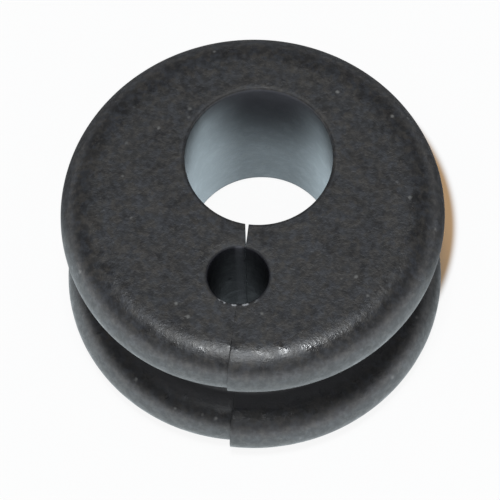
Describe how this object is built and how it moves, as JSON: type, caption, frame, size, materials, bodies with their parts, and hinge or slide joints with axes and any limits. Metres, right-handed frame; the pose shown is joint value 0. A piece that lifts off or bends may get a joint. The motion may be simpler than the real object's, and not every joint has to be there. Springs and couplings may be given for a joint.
{
  "type": "rubber grommet",
  "caption": "Round split rubber grommet with rounded flanges, a panel groove, a large eccentric cable bore and a small wire bore joined by a knife slit.",
  "frame": {"origin": "middle of the outer diameter, on the lower flat face", "axes": "+Z along both bores from the lower to the upper face, -Y towards the slit, and +X towards the lip that stays on the full circle"},
  "size_m": [0.0254, 0.0254, 0.0136],
  "materials": {
    "black_rubber": "matt moulded black rubber with fine specks of pale dust"
  },
  "bodies": {
    "root": {"grommet_body": "black_rubber"}
  },
  "joints": []
}
